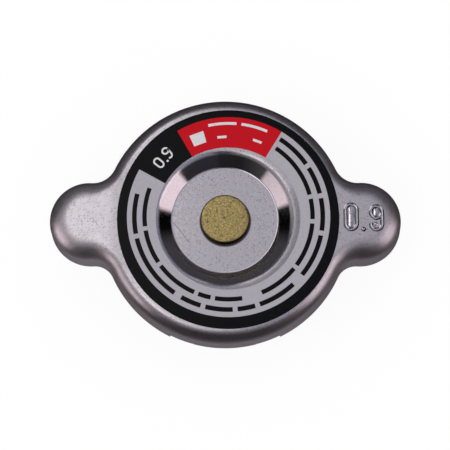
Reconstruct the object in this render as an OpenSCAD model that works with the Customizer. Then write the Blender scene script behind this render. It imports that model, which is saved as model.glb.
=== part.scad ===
// Bayonet pressure cap for a radiator filler neck: a winged steel shell over a
// pressure valve, a vacuum valve and two gaskets. All lengths are in millimetres.
// The cap stands on the sealing bead of its lower gasket, with its wings along X.

/* [Shell] */
// Outside diameter of the round skirt
shell_od = 55; // [52:0.5:60]
// Distance from wing tip to wing tip
wing_span = 77.8; // [72:0.2:86]
// Radius of each wing's round end
wing_r = 9.2; // [7.5:0.1:10.5]
// Radius of the hollow where a wing leaves the round skirt
wing_hollow_r = 4.4; // [3:0.1:7]
// Thickness of the pressed sheet
shell_t = 1; // [0.7:0.05:1.2]
// Height from the top face to the lower edge of the skirt
skirt_h = 10; // [9:0.1:12]
// How far the skirt leans out between its shoulder and its lower edge
skirt_lean = 0.6; // [0.2:0.05:1]
// Width of the rounded shoulder along the round skirt, seen from above
shoulder_w = 3; // [2.2:0.1:3.8]
// Width of the shoulder on the wings, which crowns them
wing_shoulder_w = 4.6; // [3:0.1:5.4]
// Height of the rounded shoulder
shoulder_h = 5.1; // [3:0.1:5.6]

/* [Dish] */
// Diameter of the dish's flat floor
dish_floor_d = 22.8; // [21:0.2:25]
// Depth of the dish below the top face
dish_depth = 2.5; // [2.2:0.1:3.6]
// Slope of the dish's wall
dish_slope = 40; // [38:1:60]
// Radius of the bend over the dish's rim, on its upper face
dish_rim_r = 2.4; // [1.4:0.1:3]
// Radius of the bend round the dish's floor, on its upper face
dish_floor_r = 0.5; // [0.2:0.1:0.9]

/* [Locking lugs] */
// Width of each lug, along the skirt
lug_w = 14; // [10:0.5:18]
// How far a lug reaches in from the skirt's outer face
lug_reach = 5.5; // [4:0.1:6]
// Radius of a lug's bend, on its outer face
lug_bend_r = 2.2; // [1.6:0.1:2.6]
// How far a lug's underside lies below the skirt's edge
lug_drop = 0.6; // [0:0.1:1]
// Width of the relief cut on each side of a lug
relief_w = 5.5; // [2:0.5:7]
// Height of the relief cut
relief_h = 1.7; // [1:0.1:2.4]

/* [Label] */
// Flat metal left outside the label, before its shift
label_inset = 0.1; // [0:0.05:2]
// Flat metal left between the label and the bend of the dish's rim, before its shift
label_margin = 0.05; // [0:0.05:1]
// Thickness of the label
label_t = 0.15; // [0.1:0.05:0.3]
// How far the label sits off centre, towards +X
label_shift = 0.7; // [0:0.1:0.8]

/* [Rivet] */
// Diameter of the rivet's shank
rivet_d = 5.2; // [4:0.1:6]
// Diameter of the rivet's head
rivet_head_d = 10.5; // [8:0.1:12]
// Height of the rivet's head
rivet_head_h = 1.6; // [1.2:0.1:2]
// Radius of the head's upper edge
rivet_edge_r = 0.5; // [0.2:0.1:0.8]
// Diameter of the clinched tail
rivet_tail_d = 8; // [7:0.1:9]
// Height of the clinched tail
rivet_tail_h = 1.2; // [0.8:0.1:1.5]
// Diameter of the washer under the tail
tail_washer_d = 11.6; // [10:0.2:12.4]
// Thickness of the washer under the tail
tail_washer_t = 0.8; // [0.5:0.1:1]

/* [Upper seal] */
// Distance between the upper and the lower sealing faces
seat_distance = 17.5; // [16.5:0.1:20]
// Diameter of the low-friction washer under the dish
thrust_washer_d = 20; // [16:0.5:22]
// Thickness of the low-friction washer
thrust_washer_t = 0.5; // [0.3:0.05:0.8]
// Diameter of the spring disc over its lip
disc_od = 47.6; // [45:0.2:48.4]
// Thickness of the spring disc
disc_t = 0.4; // [0.3:0.05:0.5]
// How far the disc's rim stands above its clamped flat
disc_rise = 1.3; // [0.9:0.1:1.4]
// Slope of the disc's conical web
disc_slope = 18; // [15:1:25]
// How far the disc's lip hangs below its rim
disc_lip_h = 1; // [0.6:0.1:1.3]
// Width of the upper gasket's ring
upper_gasket_w = 5.75; // [4.5:0.05:6]
// Thickness of the upper gasket
upper_gasket_t = 1.8; // [1.5:0.1:2.2]
// Chamfer on the upper gasket's edges
upper_gasket_edge = 0.4; // [0.3:0.05:0.5]

/* [Spring seat and holder] */
// Thickness of the spring seat
seat_t = 0.8; // [0.6:0.1:1]
// How far the spring seat's rim turns down
seat_rim_h = 1.8; // [1.4:0.1:2.4]
// Outside diameter of the holder's tube
holder_d = 17.2; // [16:0.1:18]
// Diameter of the holder's catch flange
holder_flange_d = 20.4; // [19.8:0.1:21]
// Height of the holder
holder_h = 8.7; // [8.2:0.1:9.2]
// Thickness of the holder's sheet
holder_t = 0.8; // [0.6:0.1:0.9]

/* [Pressure valve] */
// Thickness of the valve plate
plate_t = 0.7; // [0.5:0.1:0.9]
// Thickness of the valve cup's sheet
cup_t = 0.6; // [0.4:0.1:0.7]
// Width of each window in the cup's wall
window_w = 5; // [3:0.5:7]
// Height of each window in the cup's wall
window_h = 2.4; // [1.6:0.1:2.6]
// Number of windows in the cup's wall
window_count = 4; // [3:1:6]
// Diameter of each flow hole in the cup's floor
flow_hole_d = 2; // [1.2:0.1:2.2]
// Diameter of the circle that the flow holes lie on
flow_circle_d = 8.2; // [7.8:0.1:8.6]
// Number of flow holes
flow_count = 6; // [4:1:8]
// Room round the flow holes in the valve plate
flow_margin = 0.6; // [0.3:0.1:0.7]
// Wire of the main spring
main_wire = 2; // [1.6:0.1:2.2]
// Turns of the main spring, with its closed ends
main_turns = 4.5; // [4:0.5:5]

/* [Lower gasket] */
// Diameter of the lower gasket
lower_gasket_od = 34; // [33.4:0.2:35]
// Hole in the lower gasket
lower_gasket_id = 12; // [11.6:0.2:13]
// Height of the gasket under the valve plate
lower_gasket_h = 2.9; // [2.6:0.1:3.2]
// Height of the sealing bead
bead_h = 1.8; // [1.7:0.1:2]
// Width of the sealing bead
bead_w = 3.5; // [2.8:0.1:4]
// Rubber outside the plate's edge
gasket_wall = 1.6; // [1:0.1:1.8]
// How far the gasket's lip laps over the plate
gasket_lap = 1; // [0.5:0.1:1.2]
// Thickness of that lip
gasket_lip_t = 0.9; // [0.6:0.1:1.2]
// Radius of the gasket's outer lower edge
gasket_edge_r = 0.8; // [0.4:0.1:1]

/* [Vacuum valve] */
// Diameter of the vacuum valve's disc
vacuum_d = 15; // [14.4:0.1:17]
// Thickness of the disc
vacuum_t = 0.5; // [0.4:0.05:0.6]
// How far the disc's middle lies below its rim
vacuum_dip = 0.5; // [0.3:0.05:0.5]
// Diameter of the stem
stem_d = 2.5; // [2:0.1:2.8]
// Diameter of the stem's lower head
stem_head_d = 5; // [4:0.1:6]
// Height of the stem's lower head
stem_head_h = 0.4; // [0.3:0.05:0.4]
// Diameter of the stem's peened tip
stem_tip_d = 3.6; // [3.2:0.1:4]
// Height of the stem's peened tip
stem_tip_h = 0.5; // [0.3:0.1:0.7]
// Diameter of the spring retainer
retainer_d = 6; // [5.6:0.1:6.4]
// Thickness of the spring retainer
retainer_t = 0.5; // [0.4:0.1:0.7]
// Length of the vacuum spring
vacuum_spring_h = 4.1; // [3.8:0.1:4.6]
// Wire of the vacuum spring
vacuum_wire = 0.45; // [0.3:0.05:0.5]
// Turns of the vacuum spring, with its closed ends
vacuum_turns = 4; // [3.5:0.5:4.5]

/* [Clearances] */
// Between pieces that turn or slide on each other
run_gap = 0.05; // [0.02:0.01:0.1]
// Between a clamped piece and what passes through it
fit_gap = 0.05; // [0.02:0.01:0.1]
// Between the holder's flange and the valve cup's bore
slide_gap = 0.1; // [0.06:0.01:0.1]
// Between the main spring and its neighbours
spring_gap = 0.5; // [0.3:0.05:0.6]

/* [Hidden] */
$fn = 96;

// Levels, counted up from the lower gasket's sealing face
z_plate = lower_gasket_h;
z_cup = z_plate + plate_t;
z_cup_floor = z_cup + cup_t;
z_rim = seat_distance + upper_gasket_t;
z_disc = z_rim - disc_rise;
z_thrust = z_disc + disc_t;
z_floor = z_thrust + thrust_washer_t + run_gap;
z_dish = z_floor + shell_t;
z_top = z_dish + dish_depth;
z_skirt = z_top - skirt_h;
z_lug = z_skirt - lug_drop;
z_seat = z_disc - seat_t;
z_holder = z_seat - holder_t;
z_tail_washer = z_holder - tail_washer_t;
z_catch = z_seat - holder_h;
z_lip = z_catch + holder_t + run_gap;
z_vacuum = bead_h - run_gap - vacuum_t;
z_retainer = z_cup_floor + vacuum_spring_h;

// Radii that fit one piece to the next
rivet_r = rivet_d / 2;
rivet_hole_r = rivet_r + fit_gap;
stem_r = stem_d / 2;
cup_bore_r = holder_flange_d / 2 + slide_gap;
main_spring_r = cup_bore_r + cup_t + spring_gap + main_wire / 2;
seat_rim_r = main_spring_r + main_wire / 2 + spring_gap;
gasket_r = lower_gasket_od / 2;
plate_r = gasket_r - gasket_wall;
plate_hole_r = (flow_circle_d + flow_hole_d) / 2 + flow_margin;
upper_gasket_r = disc_od / 2 - disc_t - fit_gap;
upper_gasket_hole_r = upper_gasket_r - upper_gasket_w;
vacuum_spring_r = stem_r + vacuum_wire + vacuum_wire / 2;

// Smoothness of bends and of the shell's skin
bend_steps = 6;
shoulder_steps = 6;
inner_shoulder_steps = 4;
lug_bend_steps = 3;
wing_steps = 16;
hollow_steps = 6;
skirt_steps = 8;
relief_steps = 2;
lug_steps = 6;

// Colours of the materials
steel = "silver";
pale_steel = "gainsboro";
brass = "darkkhaki";
rubber = "dimgray";
print = "darkgray";

function dir(a) = [cos(a), sin(a)];

// Points of an arc, both ends included
function arc(centre, r, from, to, steps = bend_steps) =
    [for (i = [0:steps]) centre + r * dir(from + (to - from) * i / steps)];

// Middle line of a bent sheet as [point, heading] pairs. A move is [length, 0] for a
// straight run or [radius, angle] for a bend, where a positive angle turns left.
function sheet_line(p, heading, moves, i = 0) =
    i == len(moves) ? [[p, heading]] :
    let (size = moves[i][0], turn = moves[i][1], reach = sign(turn) * size,
        centre = p + reach * dir(heading + 90),
        end = turn == 0 ? p + size * dir(heading) : centre - reach * dir(heading + turn + 90),
        bend = [for (k = [0:bend_steps - 1]) let (a = heading + turn * k / bend_steps)
            [centre - reach * dir(a + 90), a]])
    concat(turn == 0 ? [[p, heading]] : bend, sheet_line(end, heading + turn, moves, i + 1));

// A round pressing: the sheet's half section, turned about Z
module pressing(start, heading, moves, t) {
    line = sheet_line(start, heading, moves);
    last = len(line) - 1;
    rotate_extrude()
        polygon(concat(
            [for (s = line) s[0] + t / 2 * dir(s[1] + 90)],
            [for (i = [last:-1:0]) line[i][0] - t / 2 * dir(line[i][1] + 90)]));
}

// A flat ring
module ring(inner_r, outer_r, z, h) {
    rotate_extrude()
        translate([inner_r, z])
            square([outer_r - inner_r, h]);
}

// A coil with closed, ground ends, standing on z
module coil(mean_r, wire, turns, h, z, sides = 8, rings_per_turn = 18) {
    end_pitch = 1.04 * wire;
    tip = 0.1 * wire;
    middle = h - 2 * (tip + end_pitch);
    count = ceil(turns * rings_per_turn);
    function height(turn) =
        turn < 1 ? tip + end_pitch * turn :
        turn > turns - 1 ? h - tip - end_pitch * (turns - turn) :
        tip + end_pitch + middle * (turn - 1) / (turns - 2);
    points = [for (i = [0:count], k = [0:sides - 1])
        let (turn = turns * i / count, q = wire / 2 * dir(360 * (k + 0.5) / sides),
            p = (mean_r + q[0]) * dir(360 * turn))
        [p[0], p[1], z + min(max(height(turn) + q[1], 0), h)]];
    wall_faces = [for (i = [0:count - 1], k = [0:sides - 1])
        let (a = i * sides, b = a + sides, next = (k + 1) % sides)
        each [[a + k, a + next, b + next], [a + k, b + next, b + k]]];
    // The fan of each end starts at a corner that the grinding leaves
    low = sides / 2;
    end = count * sides;
    end_faces = [for (k = [1:sides - 2]) let (m = (low + k) % sides, n = (low + k + 1) % sides)
        each [[0, k + 1, k], [end + low, end + m, end + n]]];
    polyhedron(points, concat(wall_faces, end_faces), convexity = 10);
}

// Shell outline: a round skirt, two wings and the four hollows between them
skirt_r = shell_od / 2;
wing_x = wing_span / 2 - wing_r;
skirt_reach = skirt_r + wing_hollow_r;
wing_reach = wing_r + wing_hollow_r;
hollow_x = (pow(skirt_reach, 2) - pow(wing_reach, 2) + pow(wing_x, 2)) / (2 * wing_x);
hollow_y = sqrt(pow(skirt_reach, 2) - pow(hollow_x, 2));
skirt_a = atan2(hollow_y, hollow_x);
wing_a = atan2(hollow_y, hollow_x - wing_x);
flat_r = skirt_r - skirt_lean - shoulder_w;
lug_a = lug_w / 2 / skirt_r * 180 / PI;
relief_a = lug_a + relief_w / skirt_r * 180 / PI;
edge_a = 0.2;
PLAIN = 0;
RELIEF = 1;
LUG = 2;

// A station on an arc of the outline is [centre, radius, side, angle, kind, crown]. Its side is 1
// for an outward curve and -1 for a hollow, and its crown goes from 0 on the skirt to 1 on a wing.
function stations(centre, r, from, to, steps, kind, crown) =
    [for (i = [0:steps]) [centre, r, 1, from + (to - from) * i / steps, kind, crown]];

function skirt_stations(from, to, steps, kind) = stations([0, 0], skirt_r, from, to, steps, kind, 0);

// A hollow's first and last stations belong to its neighbours
function hollow_stations(centre, from, to, crown_from, crown_to) =
    [for (i = [1:hollow_steps - 1]) let (t = i / hollow_steps)
        [centre, wing_hollow_r, -1, from + (to - from) * t, PLAIN,
            pow(crown_from + (crown_to - crown_from) * t, 2)]];

half_outline = concat(
    stations([wing_x, 0], wing_r, -wing_a, wing_a, wing_steps, PLAIN, 1),
    hollow_stations([hollow_x, hollow_y], 180 + wing_a, 180 + skirt_a, 1, 0),
    skirt_stations(skirt_a, 90 - relief_a, skirt_steps, PLAIN),
    skirt_stations(90 - relief_a + edge_a, 90 - lug_a - edge_a, relief_steps, RELIEF),
    skirt_stations(90 - lug_a, 90 + lug_a, lug_steps, LUG),
    skirt_stations(90 + lug_a + edge_a, 90 + relief_a - edge_a, relief_steps, RELIEF),
    skirt_stations(90 + relief_a, 180 - skirt_a, skirt_steps, PLAIN),
    hollow_stations([-hollow_x, hollow_y], -skirt_a, -wing_a, 0, 1));
outline = concat(half_outline, [for (s = half_outline) [-s[0], s[1], s[2], s[3] + 180, s[4], s[5]]]);

function inset_point(s, inset) = s[0] + (s[1] - s[2] * inset) * dir(s[3]);

// The skirt's inset at a level, from its lean
function lean_at(z) = skirt_lean * (z - z_skirt) / (skirt_h - shoulder_h);

function shoulder(inset, w, h, z, steps) =
    [for (i = [0:steps]) let (a = 90 * (1 - i / steps)) [inset + w * (1 - cos(a)), z - h * (1 - sin(a))]];

// Straight skirt below the shoulder, down to z and up again on the inside
wall_rows = lug_bend_steps + 2;
function wall(z) =
    let (start = z_top - shoulder_h,
        levels = [for (i = [1:wall_rows]) start + (z - start) * i / wall_rows],
        down = [for (level = levels) [lean_at(level), level]])
    concat(down, [for (i = [wall_rows - 1:-1:0]) down[i] + [shell_t, 0]]);

// Skirt that bends in to a lug
function lug_wall() =
    let (z_bend = z_lug + lug_bend_r, inset = lean_at(z_bend), centre = [inset + lug_bend_r, z_bend])
    concat(arc(centre, lug_bend_r, 180, 270, lug_bend_steps),
        [[lug_reach, z_lug], [lug_reach, z_lug + shell_t]],
        arc(centre, lug_bend_r - shell_t, 270, 180, lug_bend_steps));

walls = [wall(z_skirt), wall(z_skirt + relief_h), lug_wall()];

// The sheet's section at a station: shoulder, wall and shoulder again on the inside
function section(s) =
    let (w = shoulder_w + (wing_shoulder_w - shoulder_w) * s[5],
        outer = shoulder(skirt_lean, w, shoulder_h, z_top, shoulder_steps),
        inner = shoulder(skirt_lean + shell_t, w - shell_t, shoulder_h - shell_t, z_top - shell_t,
            inner_shoulder_steps))
    concat(outer, walls[s[4]], [for (i = [inner_shoulder_steps:-1:0]) inner[i]]);

// Dish: its rim bend starts at dish_top_r, and its flat ring laps the skin
dish_rim_bend = dish_rim_r - shell_t / 2;
dish_floor_bend = dish_floor_r + shell_t / 2;
dish_wall = (dish_depth - (dish_rim_bend + dish_floor_bend) * (1 - cos(dish_slope))) / sin(dish_slope);
dish_bends = (dish_rim_bend + dish_floor_bend) * sin(dish_slope);
dish_top_r = dish_floor_d / 2 + dish_bends + dish_wall * cos(dish_slope);
lap = 2;
skin_r = dish_top_r + lap;
lap_r = skin_r + lap;

// Wings, shoulder, skirt and lugs as one lofted skin round the dish
module shell_skin() {
    count = len(outline);
    rows = len(section(outline[0])) + 2;
    points = [for (s = outline)
        let (line = section(s), edge = inset_point(s, line[0][0]), p = skin_r * edge / norm(edge))
        each concat([[p[0], p[1], z_top]],
            [for (q = line) let (o = inset_point(s, q[0])) [o[0], o[1], q[1]]],
            [[p[0], p[1], z_top - shell_t]])];
    faces = [for (i = [0:count - 1], j = [0:rows - 1])
        let (a = i * rows, b = (i + 1) % count * rows, k = (j + 1) % rows)
        each [[a + j, b + j, b + k], [a + j, b + k, a + k]]];
    polyhedron(points, faces, convexity = 10);
}

module dish() {
    floor_run = dish_floor_d / 2 - rivet_r - run_gap;
    pressing([lap_r, z_top - shell_t / 2], 180, [
        [lap_r - dish_top_r, 0],
        [dish_rim_bend, dish_slope],
        [dish_wall, 0],
        [dish_floor_bend, -dish_slope],
        [floor_run, 0]], shell_t);
}

module shell() {
    color(steel)
        union() {
            shell_skin();
            dish();
        }
}

module label() {
    color(print)
        translate([label_shift, 0])
            ring(dish_top_r + label_margin, flat_r - label_inset, z_top, label_t);
}

module rivet() {
    head_z = z_dish + run_gap;
    head_r = rivet_head_d / 2;
    tail_r = rivet_tail_d / 2;
    color(brass)
        rotate_extrude()
            polygon(concat(
                [[0, z_tail_washer - rivet_tail_h]],
                arc([tail_r - rivet_tail_h, z_tail_washer], rivet_tail_h, 270, 360),
                [[rivet_r, z_tail_washer], [rivet_r, head_z], [head_r, head_z]],
                arc([head_r - rivet_edge_r, head_z + rivet_head_h - rivet_edge_r], rivet_edge_r, 0, 90),
                [[0, head_z + rivet_head_h]]));
}

module thrust_washer() {
    color(brass)
        ring(rivet_hole_r, thrust_washer_d / 2, z_thrust, thrust_washer_t);
}

module spring_disc() {
    web_bend = 1.5;
    lip_bend = disc_t;
    rim_margin = 0.6;
    web = (disc_rise - 2 * web_bend * (1 - cos(disc_slope))) / sin(disc_slope);
    web_r = upper_gasket_hole_r - rim_margin;
    clamp_r = web_r - 2 * web_bend * sin(disc_slope) - web * cos(disc_slope);
    color(pale_steel)
        pressing([rivet_hole_r, z_disc + disc_t / 2], 0, [
            [clamp_r - rivet_hole_r, 0],
            [web_bend, disc_slope],
            [web, 0],
            [web_bend, -disc_slope],
            [disc_od / 2 - disc_t / 2 - lip_bend - web_r, 0],
            [lip_bend, -90],
            [disc_lip_h - lip_bend + disc_t / 2, 0]], disc_t);
}

module upper_gasket() {
    inner_r = upper_gasket_hole_r;
    e = upper_gasket_edge;
    color(rubber)
        rotate_extrude()
            polygon([
                [inner_r + e, seat_distance], [upper_gasket_r - e, seat_distance],
                [upper_gasket_r, seat_distance + e], [upper_gasket_r, z_rim - e],
                [upper_gasket_r - e, z_rim], [inner_r, z_rim], [inner_r, seat_distance + e]]);
}

module spring_seat() {
    rim_bend = seat_t;
    color(pale_steel)
        pressing([rivet_hole_r, z_seat + seat_t / 2], 0, [
            [seat_rim_r + seat_t / 2 - rim_bend - rivet_hole_r, 0],
            [rim_bend, -90],
            [seat_rim_h - rim_bend - seat_t / 2, 0]], seat_t);
}

module spring_holder() {
    top_bend = 1.5 * holder_t;
    foot_bend = holder_t;
    tube_r = (holder_d - holder_t) / 2;
    color(pale_steel)
        pressing([rivet_hole_r, z_seat - holder_t / 2], 0, [
            [tube_r - top_bend - rivet_hole_r, 0],
            [top_bend, -90],
            [holder_h - holder_t - top_bend - foot_bend, 0],
            [foot_bend, 90],
            [holder_flange_d / 2 - tube_r - foot_bend, 0]], holder_t);
}

module tail_washer() {
    color(steel)
        ring(rivet_hole_r, tail_washer_d / 2, z_tail_washer, tail_washer_t);
}

module main_spring() {
    color(steel)
        coil(main_spring_r, main_wire, main_turns, z_seat - z_cup, z_cup);
}

// Cup whose inturned lip hangs on the holder's flange, with a guide hole for the stem
module valve_cup() {
    foot_bend = 1;
    lip_bend = slide_gap + cup_t / 2;
    wall_r = cup_bore_r + cup_t / 2;
    lip_r = holder_d / 2 + 2 * slide_gap;
    start_r = stem_r + run_gap;
    window_z = z_cup_floor + 1;
    color(pale_steel)
        difference() {
            pressing([start_r, z_cup + cup_t / 2], 0, [
                [wall_r - foot_bend - start_r, 0],
                [foot_bend, 90],
                [z_lip - z_cup - foot_bend - lip_bend, 0],
                [lip_bend, 90],
                [wall_r - lip_bend - lip_r, 0]], cup_t);
            for (i = [0:flow_count - 1])
                rotate(360 * i / flow_count)
                    translate([flow_circle_d / 2, 0, z_cup - cup_t])
                        cylinder(d = flow_hole_d, h = 3 * cup_t);
            for (i = [0:window_count - 1])
                rotate(360 * (i + 0.5) / window_count)
                    translate([cup_bore_r - cup_t, -window_w / 2, window_z])
                        cube([3 * cup_t, window_w, window_h]);
        }
}

module valve_plate() {
    color(pale_steel)
        ring(plate_hole_r, plate_r, z_plate, plate_t);
}

// Rubber ring that wraps the valve plate's edge and ends in a sealing bead
module lower_gasket() {
    lip_top = z_cup + gasket_lip_t;
    lip_r = plate_r - gasket_lap;
    bead_r = gasket_r - bead_w;
    groove_r = plate_r + fit_gap;
    color(rubber)
        rotate_extrude()
            polygon(concat(
                [[lower_gasket_id / 2, z_plate], [lower_gasket_id / 2, bead_h], [bead_r, bead_h],
                    [bead_r + bead_h / 2, 0]],
                arc([gasket_r - gasket_edge_r, gasket_edge_r], gasket_edge_r, 270, 360),
                [[gasket_r, lip_top], [lip_r, lip_top], [lip_r, z_cup], [groove_r, z_cup],
                    [groove_r, z_plate]]));
}

// Shallow dished disc whose rim seals under the lower gasket's inner edge
module vacuum_valve() {
    dip_bend = 1;
    dip_slope = 25;
    cone = (vacuum_dip - 2 * dip_bend * (1 - cos(dip_slope))) / sin(dip_slope);
    rim_run = (vacuum_d - lower_gasket_id) / 2 + 0.5;
    start_r = stem_r + fit_gap;
    flat = vacuum_d / 2 - rim_run - 2 * dip_bend * sin(dip_slope) - cone * cos(dip_slope) - start_r;
    color(brass)
        pressing([start_r, z_vacuum - vacuum_dip + vacuum_t / 2], 0, [
            [flat, 0],
            [dip_bend, dip_slope],
            [cone, 0],
            [dip_bend, -dip_slope],
            [rim_run, 0]], vacuum_t);
}

module vacuum_stem() {
    head_z = z_vacuum - vacuum_dip;
    tip_z = z_retainer + retainer_t;
    tip_r = stem_tip_d / 2;
    color(brass)
        rotate_extrude()
            polygon([
                [0, head_z - stem_head_h], [stem_head_d / 2 - stem_head_h, head_z - stem_head_h],
                [stem_head_d / 2, head_z], [stem_r, head_z], [stem_r, tip_z], [tip_r, tip_z],
                [tip_r - stem_tip_h / 2, tip_z + stem_tip_h], [0, tip_z + stem_tip_h]]);
}

module vacuum_spring() {
    color(steel)
        coil(vacuum_spring_r, vacuum_wire, vacuum_turns, vacuum_spring_h, z_cup_floor, 6, 14);
}

module spring_retainer() {
    color(brass)
        ring(stem_r + fit_gap, retainer_d / 2, z_retainer, retainer_t);
}

shell();
label();
rivet();
thrust_washer();
spring_disc();
upper_gasket();
spring_seat();
spring_holder();
tail_washer();
main_spring();
valve_cup();
valve_plate();
lower_gasket();
vacuum_valve();
vacuum_stem();
vacuum_spring();
spring_retainer();
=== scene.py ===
"""Looks of a winged pressure cap: fine skins, printed label, springs, materials, studio and camera."""
import math
from collections import namedtuple

import bmesh
import bpy
from mathutils import Matrix, Vector


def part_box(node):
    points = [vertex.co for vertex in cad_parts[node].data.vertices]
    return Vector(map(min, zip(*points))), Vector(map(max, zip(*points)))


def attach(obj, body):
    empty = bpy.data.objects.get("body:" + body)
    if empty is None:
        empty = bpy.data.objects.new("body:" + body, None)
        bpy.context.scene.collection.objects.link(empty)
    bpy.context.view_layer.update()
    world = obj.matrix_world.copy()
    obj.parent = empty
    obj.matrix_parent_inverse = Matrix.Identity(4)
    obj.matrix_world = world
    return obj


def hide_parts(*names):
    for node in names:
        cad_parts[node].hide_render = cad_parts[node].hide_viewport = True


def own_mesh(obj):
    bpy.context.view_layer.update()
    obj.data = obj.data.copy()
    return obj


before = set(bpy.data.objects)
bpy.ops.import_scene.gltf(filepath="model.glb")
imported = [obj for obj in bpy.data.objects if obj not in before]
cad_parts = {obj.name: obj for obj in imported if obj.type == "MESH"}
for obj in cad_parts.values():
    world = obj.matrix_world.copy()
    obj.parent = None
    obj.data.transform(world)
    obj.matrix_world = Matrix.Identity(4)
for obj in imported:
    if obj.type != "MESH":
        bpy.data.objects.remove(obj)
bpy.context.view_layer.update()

MM = 0.001

# Shell sizes in millimetres, as in the part's source
SHELL_OD = 55
WING_SPAN = 77.8
WING_R = 9.2
WING_HOLLOW_R = 4.4
SHELL_T = 1
SKIRT_H = 10
SKIRT_LEAN = 0.6
SHOULDER_W = 3
WING_SHOULDER_W = 4.6
SHOULDER_H = 5.1
DISH_FLOOR_D = 22.8
DISH_DEPTH = 2.5
DISH_SLOPE = 40
DISH_RIM_R = 2.4
DISH_FLOOR_R = 0.5
LUG_W = 14
LUG_REACH = 5.5
LUG_BEND_R = 2.2
LUG_DROP = 0.6
RELIEF_W = 5.5
RELIEF_H = 1.7
RIVET_HOLE_R = 2.65
LABEL_MARGIN = 0.05

# Sizes and places that follow
SKIRT_R = SHELL_OD / 2
WING_X = WING_SPAN / 2 - WING_R
WING_FLAT_R = WING_R - SKIRT_LEAN - WING_SHOULDER_W
DISH_RIM_BEND = DISH_RIM_R - SHELL_T / 2
DISH_FLOOR_BEND = DISH_FLOOR_R + SHELL_T / 2
DISH_TURN = math.radians(DISH_SLOPE)
DISH_WALL = (DISH_DEPTH - (DISH_RIM_BEND + DISH_FLOOR_BEND) * (1 - math.cos(DISH_TURN))) / math.sin(DISH_TURN)
DISH_TOP_R = (DISH_FLOOR_D / 2 + (DISH_RIM_BEND + DISH_FLOOR_BEND) * math.sin(DISH_TURN)
              + DISH_WALL * math.cos(DISH_TURN))
Z_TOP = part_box("shell")[1].z / MM
Z_SKIRT = Z_TOP - SKIRT_H
Z_LUG = Z_SKIRT - LUG_DROP
LABEL_LOW, LABEL_HIGH = (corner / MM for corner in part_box("label"))
LABEL_X = (LABEL_LOW.x + LABEL_HIGH.x) / 2
LABEL_R = (LABEL_HIGH.x - LABEL_LOW.x) / 2
LABEL_HOLE_R = DISH_TOP_R + LABEL_MARGIN

# Smoothness of the skins
WING_STEPS = 64
HOLLOW_STEPS = 24
SKIRT_STEPS = 26
RELIEF_STEPS = 8
LUG_STEPS = 20
SHOULDER_STEPS = 24
WALL_STEPS = 10
BEND_STEPS = 14
EDGE_STEPS = 4
EDGE_R = 0.2
FLAT_MARGIN = 0.15
SHARP_ANGLE = 35
POINT_JOIN = 0.0001


def direction(angle):
    """A unit vector at an angle in degrees."""
    return Vector((math.cos(math.radians(angle)), math.sin(math.radians(angle))))


def arc(centre, r, start, end, steps):
    """Points of an arc, both ends included."""
    return [Vector(centre) + r * direction(start + (end - start) * i / steps) for i in range(steps + 1)]


def sheet_line(point, heading, moves):
    """Middle line of a bent sheet as (point, heading) pairs. A move is (length, 0) or (radius, angle)."""
    line = []
    point = Vector(point)
    for size, turn in moves:
        line.append((point.copy(), heading))
        if turn == 0:
            point = point + size * direction(heading)
            continue
        reach = math.copysign(size, turn)
        centre = point + reach * direction(heading + 90)
        for i in range(1, BEND_STEPS):
            at = heading + turn * i / BEND_STEPS
            line.append((centre - reach * direction(at + 90), at))
        heading += turn
        point = centre - reach * direction(heading + 90)
    line.append((point, heading))
    return line


def loft(rows, closed=True):
    """Quads between rows of points that each run once round."""
    count = len(rows[0])
    points = [point for row in rows for point in row]
    faces = []
    for i in range(len(rows) if closed else len(rows) - 1):
        low = i * count
        high = (i + 1) % len(rows) * count
        for j in range(count):
            k = (j + 1) % count
            faces.append((low + j, low + k, high + k, high + j))
    return points, faces


def lathe(profile, steps):
    """A half section of (radius, height) points, turned about Z."""
    turns = [direction(360 * i / steps) for i in range(steps)]
    return loft([[(r * d.x, r * d.y, z) for d in turns] for r, z in profile], False)


def merged(*parts):
    """Several sets of points and faces as one."""
    points = []
    faces = []
    for part_points, part_faces in parts:
        base = len(points)
        points += list(part_points)
        faces += [tuple(base + i for i in face) for face in part_faces]
    return points, faces


def link(thing):
    """Puts an object into the scene."""
    bpy.context.scene.collection.objects.link(thing)


def smooth_mesh(name, mesh_data, materials, picks=None):
    """A mesh from points in millimetres, with smooth faces that all look outwards."""
    points, faces = mesh_data
    mesh = bpy.data.meshes.new(name)
    mesh.from_pydata([Vector(p) * MM for p in points], [], faces)
    for material in materials:
        mesh.materials.append(material)
    if picks:
        mesh.polygons.foreach_set("material_index", picks)
    shaper = bmesh.new()
    shaper.from_mesh(mesh)
    bmesh.ops.remove_doubles(shaper, verts=shaper.verts, dist=POINT_JOIN * MM)
    bmesh.ops.recalc_face_normals(shaper, faces=shaper.faces)
    for face in shaper.faces:
        face.smooth = True
    shaper.to_mesh(mesh)
    shaper.free()
    return mesh


def press(thing, shape, material):
    """Presses a solid shape's form into a piece, with a finish of its own."""
    tool = bpy.data.objects.new("press", smooth_mesh("press", shape, [material]))
    link(tool)
    cut = thing.modifiers.new("press", "BOOLEAN")
    cut.operation = "DIFFERENCE"
    cut.solver = "EXACT"
    cut.material_mode = "TRANSFER"
    cut.object = tool
    thing.data = bpy.data.meshes.new_from_object(thing.evaluated_get(bpy.context.evaluated_depsgraph_get()))
    thing.modifiers.clear()
    bpy.data.objects.remove(tool)


def piece(name, body, mesh_data, materials, replaces=None, picks=None, presses=(), pressed=None):
    """A smooth mesh piece which rides on a body."""
    thing = bpy.data.objects.new(name, smooth_mesh(name, mesh_data, materials, picks))
    link(thing)
    for shape in presses:
        press(thing, shape, pressed)
    thing.data.set_sharp_from_angle(angle=math.radians(SHARP_ANGLE))
    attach(thing, body)
    if replaces:
        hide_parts(replaces)
    return thing


# Node helpers

# Colour sockets of a Mix node
MIX_FIRST = 6
MIX_SECOND = 7
MIX_RESULT = 2


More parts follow.
